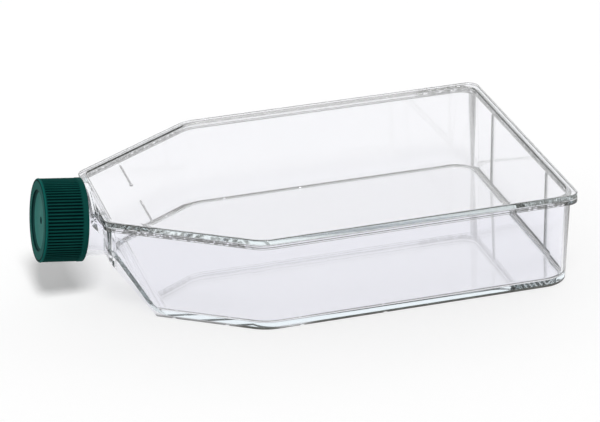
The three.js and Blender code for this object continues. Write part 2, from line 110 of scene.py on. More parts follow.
class FlaskSizes(bpy.types.PropertyGroup):
    """Sizes of the tray and its top plate"""

    rim_length: metres("Rim length", "Rim's front edge to its back edge", PLATE_HIGH.x - PLATE_LOW.x)
    rim_width: metres("Rim width", "Across the parallel sides of the rim", PLATE_HIGH.y - PLATE_LOW.y)
    height: metres("Height", "Table to the top of the rim", PLATE_HIGH.z)
    front_width: metres("Front width", "Straight front of the rim, across the neck", 0.057)
    shoulder_length: metres("Shoulder length", "Front edge back to the parallel sides", 0.0585)
    back_corner: metres("Back corner radius", "Rounding of the rim's back corners", 0.0052)
    shoulder_corner: metres("Shoulder corner radius", "Rounding where shoulder meets side", 0.012)
    front_corner: metres("Front corner radius", "Rounding of the rim's front corners", 0.0055)
    shoulder_wall: metres("Shoulder wall radius", "Rounding of the wall at the shoulder", 0.016)
    back_wall: metres("Back wall radius", "Rounding of the wall's back corners", 0.0095)
    corner_growth: metres("Corner growth", "How much rounder the walls' corners are at the foot", 0.003)
    foot_height: metres("Foot height", "Table to the underside of the floor", 0.0007)
    floor_thickness: metres("Floor thickness", "Thickness of the growth floor", 0.0016)
    wall_thickness: metres("Wall thickness", "Thickness of the upright walls", 0.0018)
    wall_draft: metres("Wall draft", "How far a wall leans in from top to foot", 0.001)
    flange_overhang: metres("Flange overhang", "Flange beyond the wall", 0.0013)
    flange_thickness: metres("Flange thickness", "Thickness of the welding flange", 0.002)
    plate_thickness: metres("Plate thickness", "Panel of the top plate", 0.0016)
    bead_width: metres("Bead width", "Raised border of the plate", 0.0035)
    bead_height: metres("Bead height", "Rise of the border above the panel", 0.0006)
    weld_gap: metres("Weld gap", "Seam between flange and plate", 0.0003)
    tongue_width: metres("Tongue width", "Ridge that the plate is welded over", 0.0009)
    floor_fillet: metres("Floor fillet", "Rounding between floor and walls", 0.0024)
    ramp_foot: metres("Ramp foot", "Rim's front edge back to where the ramp meets the floor", 0.01965)
    ramp_crest: metres("Ramp crest", "Rim's front edge back to the ramp's crest", 0.0038)
    crest_drop: metres("Crest drop", "Top of the rim down to the ramp's crest", 0.0134)
    ramp_thickness: metres("Ramp thickness", "Thickness of the ramp", 0.0017)
    rib_place: metres("Rib place", "Middle of the flask to each rib on the back wall", 0.0355)
    skirt_foot: metres("Skirt foot", "Rim's front edge back to the toe of the skirts", 0.0183)
    skirt_drop: metres("Skirt drop", "Top of the rim down to where the skirts run out", 0.0196)


class NeckSizes(bpy.types.PropertyGroup):
    """Sizes of the canted neck and its thread"""

    tilt: degrees("Tilt", "How far the mouth looks up", math.degrees(math.asin(PULL.z)))
    axis_drop: metres("Axis drop", "Top of the rim down to the neck's axis", 0.0107)
    land_radius: metres("Land radius", "Outside of the neck between the threads", 0.0151)
    wall: metres("Wall", "Thickness of the neck's wall", 0.0014)
    collar_step: metres("Collar step", "Collar above the land", 0.0007)
    collar_length: metres("Collar length", "Rim's front edge to the end of the collar", 0.007)
    reach: metres("Reach", "Rim's front edge to the mouth, along the axis", 0.0213)
    thread_pitch: metres("Thread pitch", "Axial distance between turns", 0.004)
    thread_height: metres("Thread height", "Crest above the land", 0.0009)
    thread_start: metres("Thread start", "End of the collar to the thread", 0.0023)
    hood: metres("Hood", "Thickness of the wall that closes the neck above the flange", 0.0015)
    lintel: metres("Lintel", "Thickness of the flange where it bridges the bore", 0.0016)
    thread_turns: number("Thread turns", "Number of turns of the thread", 2.1, min=0.5)


class CapSizes(bpy.types.PropertyGroup):
    """Sizes of the screw cap"""

    length: metres("Length", "Open end to the face", 0.0191)
    radius: metres("Radius", "Outside of the plain bands", 0.0183)
    inside: metres("Inside radius", "Inside of the skirt", 0.0164)
    root: metres("Root radius", "Bottom of the grooves between the ribs", 0.01745)
    ribs: bpy.props.IntProperty(name="Ribs", description="Number of grip ribs", default=76, min=12)
    rear_band: metres("Rear band", "Plain band at the open end", 0.0025)
    front_band: metres("Front band", "Plain band behind the face", 0.0004)
    face_bevel: metres("Face bevel", "Bevel round the face", 0.0008)
    face_ring: metres("Face ring", "Flat ring round the recess", 0.005)
    recess: metres("Recess", "Depth of the dished face", 0.0017)
    end_wall: metres("End wall", "Thickness under the recess", 0.0009)
    plug_length: metres("Plug length", "Length of the sealing plug", 0.004)
    thread_start: metres("Thread start", "Open end to the inner thread", 0.0034)


class FlaskFinish(bpy.types.PropertyGroup):
    """Colours of the plastics and of the studio"""

    tray_tint: colour("Tray tint", "What the tray's surface lets through", (0.955, 0.955, 0.985))
    plate_tint: colour("Plate tint", "What the top plate's surface lets through", (0.97, 0.97, 0.975))
    # painted shade: the dark grey laid along the rim, back ribs, back corners and foot for dark refraction
    # lines and the contact shadow
    edge_tint: colour("Edge tint", "Plastic where it was melted, cut or stood on", (0.05, 0.052, 0.046))
    depth_tint: colour("Depth tint", "What long paths in the plastic turn to", (0.3, 0.78, 0.9))
    depth_density: number("Depth density", "How soon long paths take on the depth tint", 1.2, min=0.0)
    cap_shade: colour("Cap shade", "Coloured polyethylene of the cap", (0.002, 0.048, 0.041))
    floor_shade: colour("Floor shade", "The pale studio floor", (0.98, 0.98, 0.98))


class StudioSettings(bpy.types.PropertyGroup):
    """Camera and light"""

    azimuth: degrees("Azimuth", "Camera round the flask", -15.29)
    elevation: degrees("Elevation", "Camera above the table", 24.45)
    roll: degrees("Roll", "Camera's turn about its own line", -1.862)
    distance: metres("Distance", "Camera to the middle of the flask", 1.27677)
    focal: number("Focal length", "Lens on a 36 mm sensor", 172.024, unit="CAMERA")
    target_height: metres("Target height", "Height the camera looks at", 0.018947)
    shift_across: number("Shift across", "Moves the view sideways, in sensor widths", -0.02306)
    shift_up: number("Shift up", "Moves the view up or down, in sensor widths", 0.00608)
    lamp: portion("Lamp", "Strength of the lamp; at 1 it alone shows a colour as written", 0.8)
    front_light: portion("Front light", "Light from the room in front of the flask", 0.06)
    top_light: portion("Top light", "Light from the room overhead", 0.225)
    floor_lift: portion("Floor lift", "How far the floor comes up to white where it is looked at", 0.28)


SETTINGS = {
    "flask_sizes": FlaskSizes,
    "flask_neck": NeckSizes,
    "flask_cap": CapSizes,
    "flask_finish": FlaskFinish,
    "flask_studio": StudioSettings,
}


def own_properties(group):
    """A settings group's properties, without those that every group has."""
    return [item for item in group.bl_rna.properties if item.identifier not in ("rna_type", "name")]


def in_millimetres(group):
    """A settings group as plain numbers, lengths in millimetres."""
    values = {}
    for item in own_properties(group):
        value = getattr(group, item.identifier)
        values[item.identifier] = value / MM if getattr(item, "unit", "") == "LENGTH" else value
    return SimpleNamespace(**values)


def flask_sizes(scene):
    """The flask's sizes, with the heights that follow from them."""
    s = in_millimetres(scene.flask_sizes)
    s.floor_top = s.foot_height + s.floor_thickness
    s.plate_bottom = s.height - s.bead_height - s.plate_thickness
    s.flange_top = s.plate_bottom - s.weld_gap
    s.flange_bottom = s.flange_top - s.flange_thickness
    s.rim = s.flange_overhang + s.wall_draft + s.wall_thickness
    s.crest = s.height - s.crest_drop
    return s


# ------------ meshes
def solid(name, points, faces):
    """A closed mesh object from points in millimetres."""
    mesh = bpy.data.meshes.new(name)
    mesh.from_pydata([tuple(p) for p in points], [], faces)
    mesh.validate()
    body = bpy.data.objects.new(name, mesh)
    bpy.context.scene.collection.objects.link(body)
    return body


def lofted(name, sections, closed=False):
    """A body through like rings of points; closed joins the last ring to the first."""
    count = len(sections[0])
    points = [p for ring in sections for p in ring]
    faces = []
    for k in range(len(sections) if closed else len(sections) - 1):
        low = k * count
        high = (k + 1) % len(sections) * count
        for i in range(count):
            j = (i + 1) % count
            faces.append((low + i, low + j, high + j, high + i))
    if not closed:
        faces.append(tuple(reversed(range(count))))
        faces.append(tuple(range(len(points) - count, len(points))))
    return solid(name, points, faces)


def apply_modifiers(body):
    """Makes a body's mesh what its modifiers make of it."""
    bpy.context.view_layer.update()
    graph = bpy.context.evaluated_depsgraph_get()
    body.data = bpy.data.meshes.new_from_object(body.evaluated_get(graph))
    body.modifiers.clear()


def combine(body, operation, *tools):
    """Joins (UNION), cuts (DIFFERENCE) or crosses (INTERSECT) closed bodies; the tools are used up."""
    for tool in tools:
        step = body.modifiers.new(operation, "BOOLEAN")
        step.operation = operation
        step.solver = "MANIFOLD"
        step.object = tool
    apply_modifiers(body)
    for tool in tools:
        bpy.data.objects.remove(tool)
    return body


def arc(centre, radius, start, end, steps=5):
    """Points of an arc in a flat profile; angles in degrees."""
    turns = [math.radians(start + (end - start) * k / steps) for k in range(steps + 1)]
    return [(centre[0] + radius * math.cos(t), centre[1] + radius * math.sin(t)) for t in turns]


def rounded(before, corner, after, radius, steps=12):
    """Points of the rounding where a path turns at a corner."""
    c = Vector(corner)
    u = (Vector(before) - c).normalized()
    v = (Vector(after) - c).normalized()
    half = u.angle(v) / 2
    centre = c + (u + v).normalized() * (radius / math.sin(half))
    start = c + u * (radius / math.tan(half)) - centre
    end = c + v * (radius / math.tan(half)) - centre
    first = math.atan2(start.y, start.x)
    turn = math.remainder(math.atan2(end.y, end.x) - first, math.tau)
    return arc(centre, radius, math.degrees(first), math.degrees(first + turn), steps)


def lean(low, high, shift=0.0):
    """A sloping line through two (x, height) points, moved forwards square to itself; gives x at a height."""
    angle = math.atan2(high[1] - low[1], low[0] - high[0])
    return lambda z: low[0] - shift / math.sin(angle) - (z - low[1]) / math.tan(angle)


def plan_outline(s, inset, radii, spacing=0.0):
    """The rim's plan moved inwards, anticlockwise seen from above; radii round front, shoulder and back."""
    half = [(0, -s.front_width / 2), (s.shoulder_length, -s.rim_width / 2), (s.rim_length, -s.rim_width / 2)]
    corners = half + [(x, -y) for x, y in reversed(half)]
    radii = [*radii, *reversed(radii)]
    inward = []
    for (x, y), (nx, ny) in zip(corners, corners[1:] + corners[:1]):
        way = Vector((nx - x, ny - y)).normalized()
        inward.append(Vector((-way.y, way.x)))
    points = []
    for i, corner in enumerate(corners):
        before, after = inward[i - 1], inward[i]
        bisector = (before + after) / (1 + before.dot(after))
        radius = max(radii[i], LEAST_CORNER)
        centre = Vector(corner) + bisector * (inset + radius)
        start = math.atan2(-before.y, -before.x)
        turn = math.remainder(math.atan2(-after.y, -after.x) - start, math.tau)
        curve = arc(centre, radius, math.degrees(start), math.degrees(start + turn), CORNER_STEPS)
        if spacing and points:
            points += between(points[-1], curve[0], spacing)
        points += curve
    if spacing:
        points += between(points[-1], points[0], spacing)
    return points


def rim_outline(s, inset):
    """Plan of the flange or the plate, moved inwards from the rim's edge."""
    return plan_outline(s, inset, [r - inset for r in (s.front_corner, s.shoulder_corner, s.back_corner)])


def wall_outline(s, level, depth, spacing=0.0):
    """Plan at a level of a face that lies inside the drafted walls by depth."""
    below = (s.flange_bottom - level) / s.flange_bottom
    growth = s.corner_growth * below
    radii = [r - depth for r in (s.front_corner, s.shoulder_wall + growth, s.back_wall + growth)]
    return plan_outline(s, s.flange_overhang + s.wall_draft * below + depth, radii, spacing)


def between(a, b, spacing):
    """Evenly spaced points strictly between two points."""
    a, b = Vector(a), Vector(b)
    parts = max(1, round((b - a).length / spacing))
    return [tuple(a.lerp(b, k / parts)) for k in range(1, parts)]


def rim_plans(s, profile):
    """The rim's plan along a profile of (inset, height), as (plan, height)."""
    return [(rim_outline(s, inset), z) for inset, z in profile]


def wall_plans(s, profile, level=None):
    """The walls' plan along a profile of (depth, height); all as at one level, if that is given."""
    return [(wall_outline(s, z if level is None else level, depth), z) for depth, z in profile]


def stacked(name, plans):
    """A body through plans at their heights."""
    return lofted(name, [[(x, y, z) for x, y in plan] for plan, z in plans])


def across(profile, low, high):
    """A side profile in X and Z, run across the flask."""
    area = sum(a[0] * b[1] - b[0] * a[1] for a, b in zip(profile, profile[1:] + profile[:1]))
    profile = profile if area > 0 else profile[::-1]
    return lofted("across", [[(x, y, z) for x, z in profile] for y in (high, low)])


def block(low, high):
    """A box between two corners."""
    (x0, y0, z0), (x1, y1, z1) = low, high
    return across([(x0, z0), (x1, z0), (x1, z1), (x0, z1)], y0, y1)


def waved(name, profile, waves):
    """A closed body round Z from a half section of (crest radius, root radius, height).

    Each wave is an angle and the share of the way from root to crest there. A ring of no radius is a pole.
    """
    points, rings = [], []
    for crest, root, z in profile:
        start = len(points)
        if crest == 0:
            points.append((0, 0, z))
            rings.append([start] * len(waves))
            continue
        for angle, rise in waves:
            r = root + (crest - root) * rise
            points.append((r * math.cos(angle), r * math.sin(angle), z))
        rings.append(list(range(start, len(points))))
    faces = []
    for low, high in zip(rings, rings[1:] + rings[:1]):
        for i in range(len(waves)):
            j = (i + 1) % len(waves)
            face = tuple(dict.fromkeys((low[i], low[j], high[j], high[i])))
            if len(face) > 2:
                faces.append(face)
    return solid(name, points, faces)


def turned(name, profile, segments):
    """A body turned about Z from a half section of (radius, height) that starts and ends at a pole."""
    waves = [(math.tau * i / segments, 0.0) for i in range(segments)]
    return waved(name, [(r, r, z) for r, z in profile], waves)


def thread(land, height, pitch, turns, start, sign=1):
    """A helical ridge with run-out ends, standing outwards (sign 1) or inwards (sign -1) from its land."""
    segments = 96
    ridge = [(-1.15, -0.35), (-0.62, 0.55), (-0.4, 0.9), (0.0, 1.0), (0.4, 0.9), (0.62, 0.55), (1.15, -0.35)]
    count = round(turns * segments)
    fade = segments / 6
    rings = []
    for k in range(count + 1):
        angle = math.tau * k / segments
        run_out = min(1.0, k / fade, (count - k) / fade)
        rise = run_out * run_out * (3 - 2 * run_out)
        z = start + pitch * angle / math.tau
        ring = []
        for along, up in ridge:
            r = land + sign * height * (up if up < 0 else up * rise)
            ring.append((r * math.cos(angle), r * math.sin(angle), z + along))
        rings.append(ring if sign > 0 else ring[::-1])
    return lofted("thread", rings)


def finish_mesh(body, name, node, body_name, sharp=28.0):
    """Moves a piece into the model's frame, smooths its rounded edges and lets it stand for its node."""
    body.name = name
    body.data.transform(Matrix.Translation(Vector((PLATE_LOW.x, 0, 0))) @ Matrix.Scale(MM, 4))
    body.data.shade_smooth()
    body.data.set_sharp_from_angle(angle=math.radians(sharp))
    weights = body.modifiers.new("flat faces stay flat", "WEIGHTED_NORMAL")
    weights.keep_sharp = True
    weights.weight = 80
    apply_modifiers(body)
    body.data.name = name
    body.data.materials.clear()
    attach(body, body_name)
    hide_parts(node)


# ------------ tray
def neck_matrix(s, n):
    """The neck's own frame: Z runs out of the mouth from where its axis passes the rim's front edge."""
    return Matrix.Translation((0, 0, s.height - n.axis_drop)) @ Matrix.Rotation(n.tilt - math.pi / 2, 4, "Y")


def ramp_line(s, shift=0.0):
    """The ramp's inner face, moved forwards by shift."""
    return lean((s.ramp_foot, s.floor_top), (s.ramp_crest, s.crest), shift)


def tray_outside(s):
    """Outer body from the foot rim to the top of the flange."""
    foot_round, flange_root, flange_under, flange_lip = 0.4, 0.5, 0.35, 0.2
    foot = arc((foot_round, foot_round), foot_round, 270, 180)
    root = arc((-flange_root, s.flange_bottom - flange_root), flange_root, 0, 90)
    under = arc((flange_under, s.flange_bottom + flange_under), flange_under, 270, 180)
    lip = arc((flange_lip, s.flange_top - flange_lip), flange_lip, 180, 90)
    walls = wall_plans(s, foot) + wall_plans(s, root, s.flange_bottom - flange_root)
    return stacked("tray", walls + rim_plans(s, under + lip))


def tray_hollow(s):
    """Space under the floor and the ramp, inside the foot rim and the skirts."""
    foot_edge, toe_radius = 0.3, 8.0
    inner = s.wall_thickness - foot_edge
    edge = arc((inner, foot_edge), foot_edge, 270, 360)
    body = stacked("hollow", wall_plans(s, [(inner, -MARGIN), *edge, (s.wall_thickness, s.flange_bottom)], 0))
    under = ramp_line(s, s.ramp_thickness)
    high = s.crest - s.ramp_thickness
    toe = (under(s.foot_height), s.foot_height)
    top = (under(high), high)
    back = s.rim_length + MARGIN
    profile = [(-MARGIN, -MARGIN), (back, -MARGIN), (back, s.foot_height)]
    profile += rounded(profile[-1], toe, top, toe_radius)
    profile += [top, (-MARGIN, high)]
    return combine(body, "INTERSECT", across(profile, -s.rim_width, s.rim_width))


def tray_inside(s):
    """Room inside the flask: drafted walls, a fillet round the floor, and the ramp's inner face."""
    fillet, mouth_edge, crest_radius, foot_radius = s.floor_fillet, 0.3, 5.5, 7.0
    centre = (s.wall_thickness + fillet, s.floor_top + fillet)
    inner = s.wall_thickness - mouth_edge
    mouth = [*arc((inner, s.flange_top - mouth_edge), mouth_edge, 0, 90), (inner, s.height + MARGIN)]
    walls = wall_plans(s, arc(centre, fillet, 270, 180, 8)) + wall_plans(s, mouth, s.flange_bottom)
    body = stacked("inside", walls)
    foot, crest = (s.ramp_foot, s.floor_top), (s.ramp_crest, s.crest)
    front, back = (-2 * MARGIN, s.crest), (s.rim_length, s.floor_top)
    top, below = s.height + 2 * MARGIN, s.floor_top - BITE
    profile = [(s.rim_length, below), (s.rim_length, top), (-2 * MARGIN, top), front]
    profile += rounded(front, crest, foot, crest_radius)
    profile += rounded(crest, foot, back, foot_radius)
    profile.append((s.ramp_foot + 8.0, below))
    return combine(body, "INTERSECT", across(profile, -s.rim_width, s.rim_width))


def neck_tube(s, n):
    """Outside of the neck with its collar and land, cut off in front of the rim above the flange."""
    collar, land = n.land_radius + n.collar_step, n.land_radius
    step = n.collar_length
    profile = [(0, -s.ramp_foot), (collar, -s.ramp_foot)]
    profile += arc((collar - 0.25, step - 0.25), 0.25, 0, 90, 4)
    profile += arc((land + 0.3, step + 0.3), 0.3, 270, 180, 4)
    profile += arc((land - 0.4, n.reach - 0.4), 0.4, 0, 90)
    profile.append((0, n.reach))
    neck = turned("neck", profile, NECK_SEGMENTS)
    ridge = thread(land, n.thread_height, n.thread_pitch, n.thread_turns, step + n.thread_start)
    combine(neck, "UNION", ridge)
    neck.data.transform(neck_matrix(s, n))
    # the tube ends inside the ramp, and inside the front wall above the ramp's crest
    under = ramp_line(s, s.ramp_thickness)
    behind = ramp_line(s, s.ramp_thickness / 2)
    far, top, wide = -60.0, s.height + 20.0, 30.0
    wall = s.flange_overhang + s.wall_thickness / 2
    tube_end = [(far, -MARGIN), (behind(-MARGIN), -MARGIN), (behind(s.height), s.height)]
    tube_end = across([*tube_end, (behind(s.height), top), (far, top)], -wide, wide)
    ramp_side = [(far, -MARGIN), (under(-MARGIN), -MARGIN), (under(s.crest), s.crest)]
    ramp_side = across([*ramp_side, (wall, s.crest), (wall, top), (far, top)], -wide, wide)
    combine(neck, "INTERSECT", combine(tube_end, "UNION", ramp_side))
    return combine(neck, "DIFFERENCE", block((-s.weld_gap, -wide, s.flange_top), (s.rim_length, wide, top)))


def neck_bore(s, n):
    """Bore of the neck, stopped under the flange and by the hood in front of the rim."""
    bore, mouth, wide = n.land_radius - n.wall, 0.4, 40.0
    profile = [(0, -s.ramp_foot), (bore, -s.ramp_foot)]
    profile += arc((bore + mouth, n.reach - mouth), mouth, 180, 90)
    profile += [(bore + mouth, n.reach + MARGIN), (0, n.reach + MARGIN)]
    body = turned("bore", profile, NECK_SEGMENTS)
    body.data.transform(neck_matrix(s, n))
    low = (-s.weld_gap - n.hood, -wide, s.flange_top - n.lintel)
    return combine(body, "DIFFERENCE", block(low, (s.rim_length, wide, s.height + 20)))


def weld_line(s):
    """Low ridge in the seam under the plate, melted into small beads."""
    low = (s.wall_thickness - s.tongue_width) / 2
    top = s.flange_top + 0.8 * s.weld_gap
    sides = [(0.0, s.flange_top - BITE), (0.0, top - 0.15), (0.08, top - 0.03), (0.2, top)]
    path = [(low + a, z) for a, z in sides] + [(low + s.tongue_width - a, z) for a, z in reversed(sides)]
    bead_height, spacing = 0.07, 1.1
    rings = []
    for depth, z in path:
        melt = bead_height if z > s.flange_top else 0.0
        ring = []
        for x, y in wall_outline(s, s.flange_bottom, depth, spacing):
            bead = noise.noise(Vector((x, y, 0.0)) * 0.55) + 0.6 * noise.noise(Vector((y, x, 4.0)) * 1.3)
            ring.append((x, y, z + melt * max(-0.9, min(0.5, bead))))
        rings.append(ring)
    return lofted("weld", rings, closed=True)


def back_rib(s, y):
    """Half-round upright rib inside the back wall."""
    wide, high, sunk = 0.5, 0.7, 0.9
    wall = s.rim_length - s.flange_overhang - s.wall_thickness
    rings = []
    for z, draft in ((s.floor_top - BITE, s.wall_draft), (s.flange_bottom, 0.0)):
        face = wall - draft
        half_round = [(face - high * b, y - wide * a, z) for a, b in arc((0, 0), 1, 0, 180, 8)]
        ring = [(face + sunk, y - wide, z), *half_round, (face + sunk, y + wide, z)]
        rings.append(ring[::-1])
    return lofted("rib", rings)


def air_notch(x, y, angle, reach):
    """Small arched notch through the foot rim."""
    wide, high, below = 1.1, 0.5, -1.0
    arch = [(wide * a, high * (0.35 + 0.65 * b)) for a, b in arc((0, 0), 1, 0, 180, 8)]
    arch = [(wide, below), *arch, (-wide, below)]
    body = lofted("notch", [[(a, b, z) for a, z in arch] for b in (reach, -reach)])
    body.data.transform(Matrix.Translation((x, y, 0)) @ Matrix.Rotation(angle, 4, "Z"))
    return body


def air_notches(s):
    """The notches that let air under the flask, two on each long side and two on each shoulder."""
    side_places, shoulder_places = (75, 112), (0.4, 0.74)
    slope = (s.rim_width - s.front_width) / 2
    angle = math.atan2(slope, s.shoulder_length)
    inset, reach = s.rim / 2, 1.5 * s.rim
    notches = []
    for side in (-1, 1):
        for x in side_places:
            notches.append(air_notch(x, side * (s.rim_width / 2 - inset), 0, reach))
        for part in shoulder_places:
            x = s.shoulder_length * part + math.sin(angle) * inset
            y = side * (s.front_width / 2 + slope * part - math.cos(angle) * inset)
            notches.append(air_notch(x, y, side * angle, reach))
    return notches


def make_tray(s, n):
    """The clear tray in one moulding: walls, floor, ramp, flange, neck, ribs and foot rim."""
    body = tray_outside(s)
    high = s.height - s.skirt_drop
    skirt = lean((s.skirt_foot, 0), (s.flange_overhang, high))
    front = [(-MARGIN, -MARGIN), (skirt(-MARGIN), -MARGIN), (skirt(high), high), (-MARGIN, high)]
    combine(body, "DIFFERENCE", across(front, -s.rim_width, s.rim_width), tray_hollow(s))
    combine(body, "UNION", neck_tube(s, n), weld_line(s))
    combine(body, "DIFFERENCE", tray_inside(s), neck_bore(s, n))
    combine(body, "UNION", back_rib(s, -s.rib_place), back_rib(s, s.rib_place))
    return combine(body, "DIFFERENCE", *air_notches(s))


# ------------ top plate
def line_rib(s, y0, y1):
    """Short cross rib under the plate from y0 to y1, and the round pad at y0."""
    setback, radius, bury = 20, 0.35, 0.8
    profile = [(setback + radius, s.plate_bottom + bury)]
    profile += arc((setback, s.plate_bottom - radius), radius, 0, -180, 6)
    profile.append((setback - radius, s.plate_bottom + bury))
    pad = turned("pad", [(0, -0.85), (0.35, -0.8), (0.75, -0.55), (0.85, 0.0), (0.85, bury), (0, bury)], 20)
    pad.data.transform(Matrix.Translation((setback, y0, s.plate_bottom)))
    return across(profile, y0, y1), pad


def make_top_plate(s):
    """The clear top plate with its raised stacking bead and two cross ribs."""
    under, lip, crown, foot = 0.2, 0.5, 0.25, 0.25
    panel = s.height - s.bead_height
    bead = s.bead_width - s.flange_overhang
    edge = arc((under, s.plate_bottom + under), under, 270, 180, 4)
    edge += arc((lip, s.height - lip), lip, 180, 90, 6)
    inner = arc((bead - crown - foot, s.height - crown), crown, 90, 15, 4)
    inner += arc((bead + foot, panel + foot), foot, 195, 270, 4)
    body = stacked("plate", rim_plans(s, edge) + wall_plans(s, inner, s.flange_bottom))
    near, far = 9.0, 31.5  # the ribs' ends, from the middle
    return combine(body, "UNION", *line_rib(s, -far, -near), *line_rib(s, near, far))


# ------------ cap
def cap_face(n, c):
    """How far out along the neck's axis the cap's face lies."""
    return n.reach + CLEARANCE + c.end_wall + c.recess


def cap_outside(c):
    """Half section of the cap as (crest radius, root radius, height), from its open end to its recess."""
    floor = c.length - c.recess
    recess = c.radius - c.face_ring
    front = c.length - c.face_bevel - c.front_band
    crest = c.radius - 0.15
    run_out = ((0.0, 0.0), (0.25, 0.16), (0.6, 0.34), (1.0, 0.6))
    rear = arc((c.inside + 0.3, 0.3), 0.3, 180, 270, 4)
    rear += arc((c.radius - 0.3, 0.3), 0.3, 270, 360, 4)
    rear += arc((c.radius - 0.2, c.rear_band - 0.35), 0.2, 0, 60, 3)
    grip = [(share, c.rear_band - 0.1 + rise) for share, rise in run_out]
    grip += [(share, front + 0.1 - rise) for share, rise in reversed(run_out)]
    face = arc((c.radius - 0.2, front + 0.35), 0.2, -60, 0, 3)
    face += arc((c.radius - c.face_bevel, c.length - c.face_bevel), c.face_bevel, 0, 90, 6)
    face += arc((recess + 0.2, c.length - 0.2), 0.2, 90, 180, 4)
    dish, deep = 3.2, c.recess - 0.2
    bend = arc((0, 0), 1, 0, 90, 8)[1:]
    face += [(recess - dish * (1 - a), c.length - 0.2 - deep * b) for a, b in bend]
    face += [(3.0, floor), (2.6, floor + 0.15), (1.8, floor + 0.15), (1.6, floor + 0.05)]
    face += [(1.4, floor - 0.5), (1.2, floor - 0.6), (0.0, floor - 0.6)]
    ribs = [(crest, c.root + (crest - c.root) * (1 - share) ** 2, z) for share, z in grip]
    return [(r, r, z) for r, z in rear] + ribs + [(r, r, z) for r, z in face]


def cap_inside(c, plug):
    """Half section of the cap's hollow with its sealing plug, from the middle to the skirt."""
    seat = c.length - c.recess - c.end_wall
    mouth = seat - c.plug_length
    profile = [(0, seat), (plug - 1.4, seat), (plug - 1.2, seat - 0.2), (plug - 1.2, mouth + 0.3)]
    profile += [(plug - 1.0, mouth), (plug - 0.5, mouth), (plug, mouth + 1.0), (plug, seat - 0.15)]
    profile += [(plug + 0.15, seat), (c.inside - 0.4, seat), (c.inside, seat - 0.4)]
    return [(r, r, z) for r, z in profile]


def make_cap(s, n, c):
    """The cap in one moulding: ribbed skirt, dished closed end, sealing plug and inner thread."""
    flank = ((0.13, 0.0), (0.2, 0.2), (0.27, 0.72), (0.33, 0.95), (0.4, 1.0))
    rib = [(0.0, 0.0), *flank, (0.5, 1.0), *((1 - part, rise) for part, rise in reversed(flank))]
    waves = [(math.tau * (i + part) / c.ribs, rise) for i in range(c.ribs) for part, rise in rib]
    plug = n.land_radius - n.wall - CLEARANCE
    body = waved("cap", cap_outside(c) + cap_inside(c, plug), waves)
    ridge = thread(c.inside, n.thread_height, n.thread_pitch, n.thread_turns - 0.3, c.thread_start, -1)
    combine(body, "UNION", ridge)
    body.data.transform(neck_matrix(s, n) @ Matrix.Translation((0, 0, cap_face(n, c) - c.length)))
    return body


# ------------ shader tools
class Value:
    """A shader socket that takes part in sums; each sum adds a Math node."""

    def __init__(self, tree, socket):
        self.tree = tree
        self.socket = socket

    def math(self, operation, *values):
        """A Math node on these values."""
        node = self.tree.nodes.new("ShaderNodeMath")
        node.operation = operation
        for slot, value in zip(node.inputs, values):
            plug_in(self.tree, slot, value)
        return Value(self.tree, node.outputs[0])

    def __add__(self, other):
        return self.math("ADD", self, other)

    def __sub__(self, other):
        return self.math("SUBTRACT", self, other)

    def __rsub__(self, other):
        return self.math("SUBTRACT", other, self)

    def __mul__(self, other):
        return self.math("MULTIPLY", self, other)

    def __truediv__(self, other):
        return self.math("DIVIDE", self, other)

    __radd__ = __add__
    __rmul__ = __mul__

    def smooth(self, low, high):
        """0 below low, 1 above high, and an even curve between."""
        t = ((self - low) / (high - low)).clamped()
        return t * t * (3 - 2 * t)

    def clamped(self):
        """Kept between 0 and 1."""
        return self.math("MINIMUM", self.math("MAXIMUM", self, 0.0), 1.0)


def plug_in(tree, slot, value):
    """Links or sets one input."""
    if isinstance(value, Value):
        tree.links.new(value.socket, slot)
    elif isinstance(value, bpy.types.NodeSocket):
        tree.links.new(value, slot)
    elif isinstance(value, (tuple, list)) and len(value) == 3 and slot.type == "RGBA":
        slot.default_value = (*value, 1.0)
    else:
        slot.default_value = value


class Finish:
    """Builds the node tree of one material or world."""

    def __init__(self, owner):
        owner.use_nodes = True
        self.tree = owner.node_tree
        self.tree.nodes.clear()

    def node(self, kind, settings=None, **inputs):
        """Adds a node: its settings first, then its sockets' values or links, by name or by number as iN."""
        node = self.tree.nodes.new("ShaderNode" + kind)
        for name, value in (settings or {}).items():
            setattr(node, name, value)
        for name, value in inputs.items():
            key = int(name[1:]) if name[0] == "i" and name[1:].isdigit() else name.replace("_", " ")
            plug_in(self.tree, node.inputs[key], value)
        return node

    def value(self, node, output=0):
        """One output of a node, ready for sums."""
        return Value(self.tree, node.outputs[output])

    def noise(self, where, scale, detail, roughness):
        """Soft irregular cloudiness between 0 and 1."""
        node = self.node("TexNoise", Vector=where, Scale=scale, Detail=detail, Roughness=roughness)
        return self.value(node)

    def mix(self, share, first, second):
        """Colour between two colours."""
        node = self.node("Mix", {"data_type": "RGBA", "clamp_factor": True}, i0=share, i6=first, i7=second)
        return node.outputs[2]

    def blend(self, share, first, second):
        """Surface between two shaders."""
        return self.node("MixShader", i0=share, i1=first.outputs[0], i2=second.outputs[0])


def place(f):
    """Where a point lies on the object, in metres."""
    return f.node("TexCoord").outputs["Object"]


def band(value, low, high, soft):
    """One between low and high, and nothing beyond, with soft ends."""
    return value.smooth(low - soft, low) * (1 - value.smooth(high, high + soft))


def toned(shade, factor, more=0.0):
    """A lighter or darker colour."""
    return tuple(min(1.0, factor * v + more) for v in shade)


# ------------ plastics
def flask_place(f, where):
    """How far a point lies behind the rim's front edge, from the middle and up, in millimetres."""
    spot = f.node("SeparateXYZ", Vector=where)
    along = (f.value(spot, 0) - PLATE_LOW.x) / MM
    across_way = f.value(spot, 1)
    side = across_way.math("ABSOLUTE", across_way) / MM
    return along, side, f.value(spot, 2) / MM


